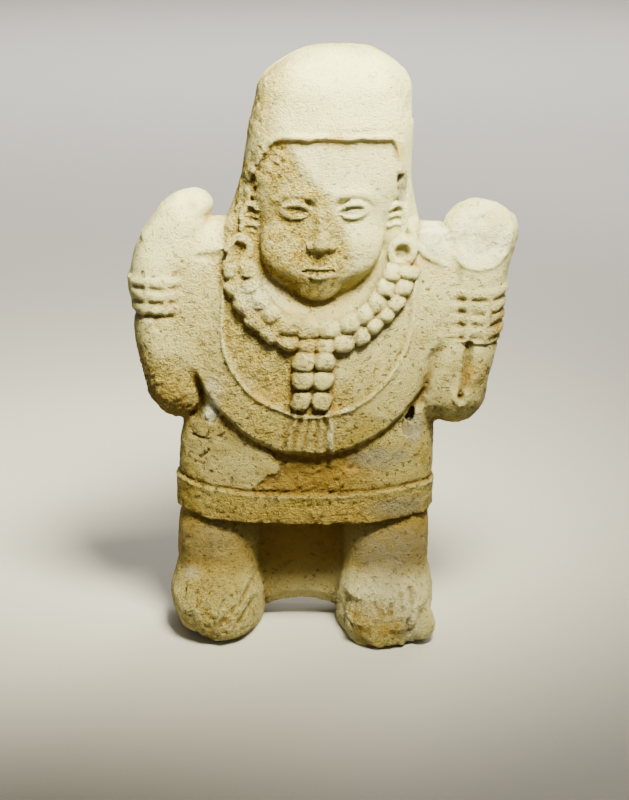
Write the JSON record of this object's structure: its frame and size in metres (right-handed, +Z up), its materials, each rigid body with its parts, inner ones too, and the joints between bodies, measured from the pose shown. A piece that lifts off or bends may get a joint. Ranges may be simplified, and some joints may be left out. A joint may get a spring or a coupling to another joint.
{
  "type": "standing female figure",
  "caption": "Moulded clay figure of a standing woman with raised arms, tall head-cloth, round cape, beads and banded robe.",
  "frame": {"origin": "centre of the figure's bounding box, on the plane of the soles", "axes": "+Z up from the soles to the head-cloth, -Y the way the figure faces, +X to the right of a viewer in front of it"},
  "size_m": [0.121, 0.051, 0.1848],
  "materials": {
    "fired_clay": "matte unglazed fired clay, cream to buff, with ochre-brown crust, dark pits and pale mineral deposits"
  },
  "bodies": {
    "root": {"standing_female_figure": "fired_clay"}
  },
  "joints": []
}
